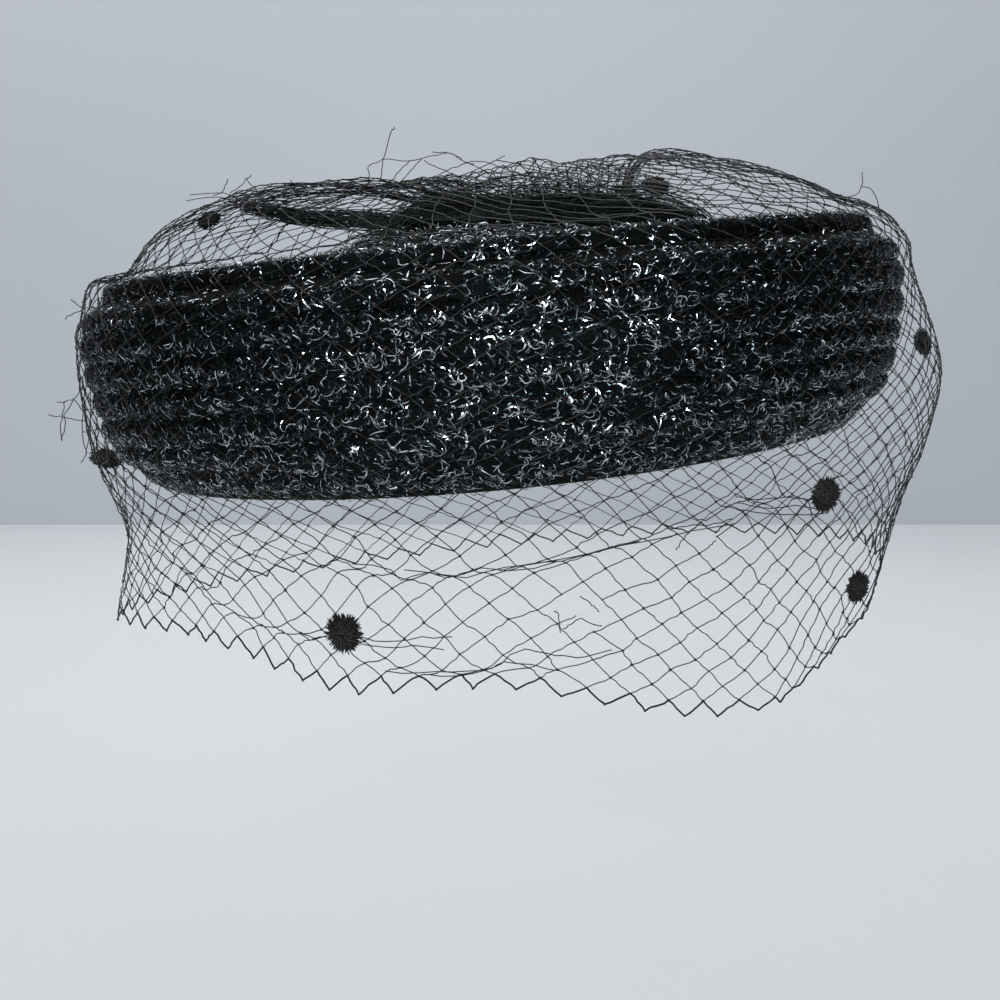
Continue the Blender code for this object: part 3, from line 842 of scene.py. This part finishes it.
def make_gather(materials):
    """Crumpled bundle of net on the coil, with loose threads over a dark heart."""
    random = np.random.default_rng(33)
    around = 120
    rings = 48
    turn = np.linspace(0.0, 2 * math.pi, around, endpoint=False)[None, :]
    tilt = np.linspace(-math.pi / 2, math.pi / 2, rings)[:, None]
    direction = np.stack([
        np.cos(tilt) * np.cos(turn), np.cos(tilt) * np.sin(turn), np.sin(tilt) * np.ones_like(turn),
    ], axis=-1)

    def body(direction, swell):
        size = (np.abs(direction) ** SQUARENESS).sum(axis=-1) ** (1 / SQUARENESS)
        along, across, up = np.moveaxis(direction / size[..., None], -1, 0)
        x = GATHER_SHIFT + along * GATHER_LENGTH / 2 * swell
        y = across * GATHER_DEPTH / 2 * swell
        reach = np.minimum(1.0, np.hypot(along, across))
        fold = PLEAT_DEPTH * np.cos(PLEATS * np.arctan2(across, along)) * reach
        z = gather_middle(x) + up * GATHER_HEIGHT * swell + (fold - PLEAT_DEPTH) * reach
        floor = coil_crest(np.hypot(x, y)) + GAP
        return np.stack([x, y, np.maximum(z, floor)], axis=-1)

    crumple = HEART_SWELL + 0.05 * np.sin(9 * turn + 7 * tilt) + 0.04 * np.sin(21 * turn - 13 * tilt)
    points = body(direction, crumple)
    grid = np.arange(rings * around).reshape(rings, around)
    after = np.roll(grid, -1, axis=1)
    faces = np.stack([grid[:-1], after[:-1], after[1:], grid[1:]], axis=-1).reshape(-1, 4)
    mesh_object("bunch_heart", points, faces, materials["bunched"], "bunched_net", ("veil_gather",))

    count = BUNCH_THREADS
    steps = BUNCH_POINTS
    start = random.normal(0.0, 1.0, (count, 3)) * np.array([1.0, 1.0, 0.6])
    start = unit(start + np.array([0.0, 0.0, 0.5]))
    heading = unit(np.cross(start, random.normal(0.0, 1.0, (count, 3)) + np.array([0.0, 2.5, 0.0])))
    line = []
    for step in range(steps):
        line.append(start + heading * (step / (steps - 1) - 0.5) * random.uniform(0.3, 0.9, (count, 1)))
    line = unit(np.stack(line, axis=1))
    swell = random.uniform(0.80, 1.03, (count, 1)) + random.normal(0.0, 0.02, (count, steps))
    threads = body(line, swell) + np.array([0.0, 0.0, 0.0006])
    strands = strand_points(threads, THREAD)
    mesh_object("bunch_threads", *strands, materials["bunched"], "bunched_net", ("veil_gather",))

    # Threads that stand off the bunch, mostly along it
    count = FRINGE_THREADS
    share = np.linspace(-0.5, 0.5, FRINGE_POINTS)[None, :]
    middle = random.uniform(-0.030, 0.066, (count, 1))
    x = middle + random.uniform(0.012, 0.045, (count, 1)) * share
    y = random.uniform(-0.030, 0.030, (count, 1)) + random.normal(0.0, 0.012, (count, 1)) * share
    z = gather_top(x, y * 0.6) + random.exponential(0.0018, (count, 1)) - 0.0010
    z = z + np.cumsum(random.normal(0.0, 0.00035, x.shape), axis=1)
    z = z + random.normal(0.0, 0.006, (count, 1)) * share
    threads = np.stack([x, y, z], axis=-1)
    strands = strand_points(threads, THREAD)
    mesh_object("bunch_fringe", *strands, materials["bunched"], "bunched_net", ("veil_gather",))


# Loose threads and broken meshes: each stands at a distance behind the hat's middle, and
# its points are where the picture shows it
Loose = namedtuple("Loose", "behind points")
LOOSE_POINTS = 12
LOOSE_THREADS = (
    # Thread that stands up at the left end of the bunch, and the open meshes beside it
    Loose(-0.012, ((394, 127), (393, 130), (391, 131), (388, 145), (384, 159), (379, 186))),
    Loose(-0.012, ((366, 190), (369, 176), (368, 166), (375, 163), (384, 159), (397, 160), (409, 161))),
    Loose(-0.012, ((409, 161), (422, 158), (434, 156), (446, 153), (456, 156), (467, 163), (474, 164))),
    Loose(-0.012, ((432, 152), (446, 153), (458, 157), (467, 163), (487, 173), (504, 185))),
    Loose(-0.012, ((465, 163), (478, 161), (489, 163), (507, 169), (524, 175), (547, 179), (574, 184))),
    Loose(-0.012, ((409, 161), (398, 173), (386, 186), (380, 196))),
    Loose(-0.012, ((422, 158), (411, 171), (398, 184), (390, 196))),
    Loose(-0.012, ((467, 163), (457, 166), (446, 171), (433, 179), (420, 188))),
    Loose(-0.012, ((424, 160), (435, 166), (446, 171), (456, 177), (465, 184), (472, 192))),
    Loose(-0.012, ((524, 175), (505, 174), (487, 173), (476, 178), (465, 184), (450, 192))),
    Loose(-0.012, ((420, 188), (428, 193), (437, 200), (448, 205))),
    # Threads that stand up at the right
    Loose(0.010, ((862, 172), (863, 180), (861, 187), (857, 194), (843, 199), (838, 198))),
    Loose(0.010, ((862, 187), (872, 190), (876, 198), (879, 208), (883, 219))),
    Loose(0.010, ((843, 206), (855, 204), (868, 208), (878, 207))),
    # Frayed ends at the upper left
    Loose(0.030, ((228, 179), (225, 186), (222, 192), (213, 196))),
    Loose(0.030, ((251, 175), (245, 181), (239, 187), (230, 193))),
    Loose(0.030, ((246, 179), (252, 186), (258, 193), (262, 198))),
    Loose(0.030, ((290, 180), (294, 186), (297, 192), (306, 196))),
    Loose(0.030, ((283, 183), (291, 187), (300, 190), (311, 191))),
    Loose(0.030, ((190, 195), (215, 193), (240, 196), (265, 192), (295, 193), (330, 196))),
    Loose(0.034, ((186, 201), (210, 197), (238, 200), (262, 196), (290, 199), (332, 202))),
    # Torn meshes at the left end of the crown
    Loose(-0.010, ((111, 300), (104, 298), (96, 299), (93, 306), (97, 311), (104, 313), (108, 309))),
    Loose(-0.010, ((105, 312), (97, 310), (92, 307), (87, 308), (82, 309), (81, 312))),
    Loose(-0.010, ((82, 308), (78, 305), (74, 302), (71, 300))),
    Loose(-0.010, ((81, 311), (74, 313), (68, 316), (65, 319))),
    Loose(-0.010, ((99, 300), (98, 306), (103, 311), (98, 316))),
    Loose(-0.010, ((84, 385), (79, 392), (73, 399), (65, 401), (57, 402))),
    Loose(-0.010, ((73, 399), (78, 404), (83, 411), (89, 410), (94, 407))),
    Loose(-0.010, ((65, 401), (63, 411), (63, 416), (61, 425), (62, 441))),
    Loose(-0.010, ((73, 400), (68, 410), (64, 416), (65, 428), (61, 440))),
    Loose(-0.010, ((48, 415), (56, 416), (66, 418), (76, 420), (86, 421))),
    Loose(-0.010, ((83, 386), (84, 394), (89, 401), (93, 408))),
    Loose(-0.010, ((83, 411), (82, 424), (83, 437), (85, 448), (86, 455), (81, 463))),
    Loose(-0.010, ((86, 423), (89, 430), (88, 442), (86, 455))),
    Loose(-0.010, ((94, 421), (98, 430), (97, 442), (98, 455))),
    Loose(-0.010, ((104, 433), (107, 441), (104, 450), (106, 456))),
    Loose(-0.010, ((83, 432), (91, 431), (98, 429), (105, 434))),
    # Pulled threads along the folds, round the dots and at the hem
    Loose(-0.112, (
        (352, 564), (385, 566), (402, 582), (424, 572), (450, 579), (478, 568), (520, 571), (556, 562),
    )),
    Loose(-0.112, (
        (404, 570), (436, 574), (468, 577), (500, 568), (536, 565), (570, 558), (606, 549), (640, 541),
    )),
    Loose(-0.112, (
        (500, 571), (530, 563), (566, 560), (600, 551), (628, 544), (664, 538), (700, 529), (735, 524),
    )),
    Loose(-0.110, ((345, 634), (362, 638), (392, 641), (424, 638), (452, 637))),
    Loose(-0.110, ((346, 640), (368, 645), (390, 648), (416, 646), (444, 650))),
    Loose(-0.110, ((300, 634), (312, 640), (326, 636), (342, 633))),
    Loose(-0.112, ((385, 671), (418, 673), (446, 672), (478, 671), (496, 667), (512, 654), (526, 649))),
    Loose(-0.112, ((430, 675), (462, 676), (488, 670), (500, 663), (530, 665), (560, 671))),
    Loose(-0.112, ((524, 649), (552, 654), (580, 657), (612, 650))),
    Loose(-0.080, ((735, 497), (765, 499), (795, 497), (822, 503))),
    Loose(-0.080, ((735, 503), (768, 508), (798, 506), (824, 510))),
    Loose(-0.080, ((738, 510), (770, 514), (800, 515), (828, 513))),
    # Broken threads in the holes
    Loose(-0.112, ((554, 612), (558, 613), (559, 622), (560, 633))),
    Loose(-0.114, ((580, 596), (588, 602), (594, 607), (599, 612))),
    Loose(-0.114, ((563, 629), (572, 624), (580, 619), (591, 624), (602, 626))),
    Loose(-0.107, ((676, 550), (681, 543), (684, 538), (688, 533))),
    Loose(-0.107, ((699, 553), (706, 549), (711, 545), (716, 540))),
    Loose(-0.107, ((668, 529), (690, 526), (710, 525), (732, 519))),
)


def at_pixel(across, down, behind):
    """Point of the upright plane at a distance behind the middle that is seen at a pixel."""
    half = IMAGE_SIZE / 2
    look = hat_axes() @ Vector((across - half, half - down, -FOCAL_PIXELS))
    place = Vector(CAMERA_PLACE)
    return place + look * ((behind - place.y) / look.y)


def make_loose_threads(materials):
    """Threads that stand off the net, and the streak of bunched net that reaches out left."""
    random = np.random.default_rng(55)
    lines = []
    for thread in LOOSE_THREADS:
        points = np.array([at_pixel(*point, thread.behind) for point in thread.points])
        line = spline(points, np.linspace(0, len(points) - 1, LOOSE_POINTS))
        line[1:-1] += random.normal(0.0, THREAD_WAVE, (LOOSE_POINTS - 2, 3))
        lines.append(line)
    strands = strand_points(np.array(lines), THREAD)
    mesh_object("loose_threads", *strands, materials["net"], "veil_net", ("veil",))

    spine = np.array([at_pixel(*point) for point in STREAK])
    count = STREAK_THREADS
    share = np.linspace(0.0, 1.0, STREAK_POINTS)[None, :]
    start = random.uniform(-0.05, 0.75, (count, 1))
    along = np.clip(start + random.uniform(0.15, 0.55, (count, 1)) * share, 0.0, 1.0)
    offset = random.normal(0.0, 1.0, (count, 1, 3)) * np.array(STREAK_SPREAD)
    wave = np.cumsum(random.normal(0.0, STREAK_WAVE, (count, STREAK_POINTS, 3)), axis=1)
    lines = spline(spine, along * (len(spine) - 1)) + offset + wave
    mesh_object("streak_threads", *strand_points(lines, THREAD), materials["bunched"], "veil_net", ("veil",))


# Dots

def make_tuft(number, dot, sheet, material):
    """Flat tuft of fine chenille: a rough heart with short spikes all over."""
    random = np.random.default_rng(100 + number)
    low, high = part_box(f"veil_dot_{number:02d}")
    middle = (np.array(low) + np.array(high)) / 2
    angle = math.radians(dot.angle)
    lean = math.radians(dot.lean)
    normal = sheet.normal(np.array(angle), np.array(dot.path))
    around = np.array([math.cos(angle), math.sin(angle), 0.0])
    normal = unit(normal * math.cos(lean) + np.cross(around, normal) * math.sin(lean))
    outward = sheet.normal(np.array(angle), np.array(dot.path))
    rest = DOT_REST * DOT_THICKNESS * dot.size
    middle = middle + outward * (rest - (middle - sheet.point(angle, dot.path)) @ outward)
    across = unit(np.cross(normal, np.array([0.1, 0.0, 1.0])))
    other = np.cross(normal, across)
    axes = np.stack([across, other, normal])
    reach = np.array([DOT_DIAMETER, DOT_DIAMETER, DOT_THICKNESS]) / 2 * dot.size
    count = TUFT_SPIKES
    direction = unit(random.normal(0.0, 1.0, (count, 3)))
    heading = unit(direction + random.normal(0.0, 0.35, (count, 3)))
    root = direction * 0.55
    tip = root + heading * random.uniform(0.20, 0.66, (count, 1))
    bend = (root + tip) / 2 + random.normal(0.0, 0.04, (count, 3))
    line = np.stack([root, bend, tip], axis=1) * reach
    spikes, spike_faces = strand_points(line, np.array([0.00036, 0.00026, 0.00008])[None, :])
    turn = np.linspace(0.0, 2 * math.pi, TUFT_SIDES, endpoint=False)[None, :]
    tilt = np.linspace(-math.pi / 2, math.pi / 2, TUFT_RINGS)[:, None]
    ball = np.stack([
        np.cos(tilt) * np.cos(turn), np.cos(tilt) * np.sin(turn), np.sin(tilt) * np.ones_like(turn),
    ], axis=-1)
    ball = ball * (0.68 + random.normal(0.0, 0.06, ball.shape[:2]))[..., None] * reach
    grid = np.arange(TUFT_RINGS * TUFT_SIDES).reshape(TUFT_RINGS, TUFT_SIDES)
    after = np.roll(grid, -1, axis=1)
    ball_faces = np.stack([grid[:-1], after[:-1], after[1:], grid[1:]], axis=-1).reshape(-1, 4)
    points, faces = joined([(spikes, spike_faces), (ball, ball_faces)])
    return mesh_object(
        f"tuft_{number:02d}", points @ axes + middle, faces, material, "chenille", (f"veil_dot_{number:02d}",)
    )


# Room, lights and camera

def plane(name, corners, material):
    mesh = bpy.data.meshes.new(name)
    mesh.from_pydata(corners, [], [(0, 1, 2, 3)])
    mesh.materials.append(material)
    piece = bpy.data.objects.new(name, mesh)
    bpy.context.scene.collection.objects.link(piece)
    return piece


def make_room():
    """Pale floor with a pale wall behind it, both level in the picture."""
    tilt = Matrix.Rotation(CAMERA_ROLL, 4, "Y")
    half = ROOM_WIDTH / 2
    near = -ROOM_WIDTH / 2
    floor = [(-half, near, -FLOOR_DEPTH), (half, near, -FLOOR_DEPTH),
             (half, WALL_DISTANCE, -FLOOR_DEPTH), (-half, WALL_DISTANCE, -FLOOR_DEPTH)]
    wall = [(-half, WALL_DISTANCE, -FLOOR_DEPTH), (half, WALL_DISTANCE, -FLOOR_DEPTH),
            (half, WALL_DISTANCE, ROOM_HEIGHT), (-half, WALL_DISTANCE, ROOM_HEIGHT)]
    paint = new_material("pale_floor", (0.80, 0.82, 0.85), 0.8)
    mottle(paint, 1.5, (0.77, 0.79, 0.81), (0.80, 0.81, 0.83))
    wash = new_material("pale_wall", (0.50, 0.55, 0.62), 0.9)
    mottle(wash, 0.8, (0.58, 0.62, 0.67), (0.64, 0.67, 0.71))
    plane("floor", [tilt @ Vector(corner) for corner in floor], paint)
    plane("wall", [tilt @ Vector(corner) for corner in wall], wash)


def area_light(name, place, target, size, energy, colour=(1.0, 1.0, 1.0)):
    data = bpy.data.lights.new(name, "AREA")
    data.shape = "DISK"
    data.size = size
    data.energy = energy
    data.color = colour
    light = bpy.data.objects.new(name, data)
    light.location = place
    aim = Vector(target) - Vector(place)
    light.rotation_euler = aim.to_track_quat("-Z", "Y").to_euler()
    bpy.context.scene.collection.objects.link(light)
    return light


def make_lights():
    world = bpy.data.worlds.new("soft_daylight")
    world.use_nodes = True
    sky = world.node_tree.nodes["Background"]
    sky.inputs["Color"].default_value = (0.72, 0.84, 0.92, 1.0)
    sky.inputs["Strength"].default_value = 0.03
    bpy.context.scene.world = world
    area_light("window_light", (-0.10, -1.85, 0.36), (0.0, 0.0, 0.03), 0.55, 29.0)
    area_light("room_light", (0.0, 1.30, 2.1), (0.1, 2.0, -0.27), 3.0, 58.0, (0.97, 0.985, 1.0))


def hat_axes():
    """The hat's X, Y and Z as directions in the picture, where the camera looks along -Z."""
    half = IMAGE_SIZE / 2
    ahead = Vector((AHEAD_PIXEL[0] - half, half - AHEAD_PIXEL[1], -FOCAL_PIXELS)).normalized()
    up = Vector((-math.sin(CAMERA_ROLL), math.cos(CAMERA_ROLL), 0.0))
    up = (up - up.dot(ahead) * ahead).normalized()
    return Matrix((ahead.cross(up), ahead, up))


def make_camera():
    data = bpy.data.cameras.new("photo_camera")
    data.sensor_width = SENSOR_WIDTH
    data.lens = SENSOR_WIDTH * FOCAL_PIXELS / IMAGE_SIZE
    data.clip_start = 0.01
    data.clip_end = 50.0
    camera = bpy.data.objects.new("photo_camera", data)
    camera.matrix_world = Matrix.Translation(CAMERA_PLACE) @ hat_axes().to_4x4()
    bpy.context.scene.collection.objects.link(camera)
    bpy.context.scene.camera = camera


def main():
    bpy.context.scene.view_settings.view_transform = "Standard"
    materials = {
        "ground": braid_body_material(),
        "bright": filament_material("bright_filament", *BRIGHT_COLOURS),
        "dark": filament_material("dark_filament", *DARK_COLOURS),
        "net": net_material(),
        "bunched": bunched_material(),
        "chenille": chenille_material(),
    }
    make_camera()
    make_room()
    make_lights()
    make_crown(materials)
    sheet = Sheet()
    make_net(sheet, materials)
    make_gather(materials)
    make_loose_threads(materials)
    for number, dot in enumerate(DOTS, start=1):
        make_tuft(number, dot, sheet, materials["chenille"])


main()
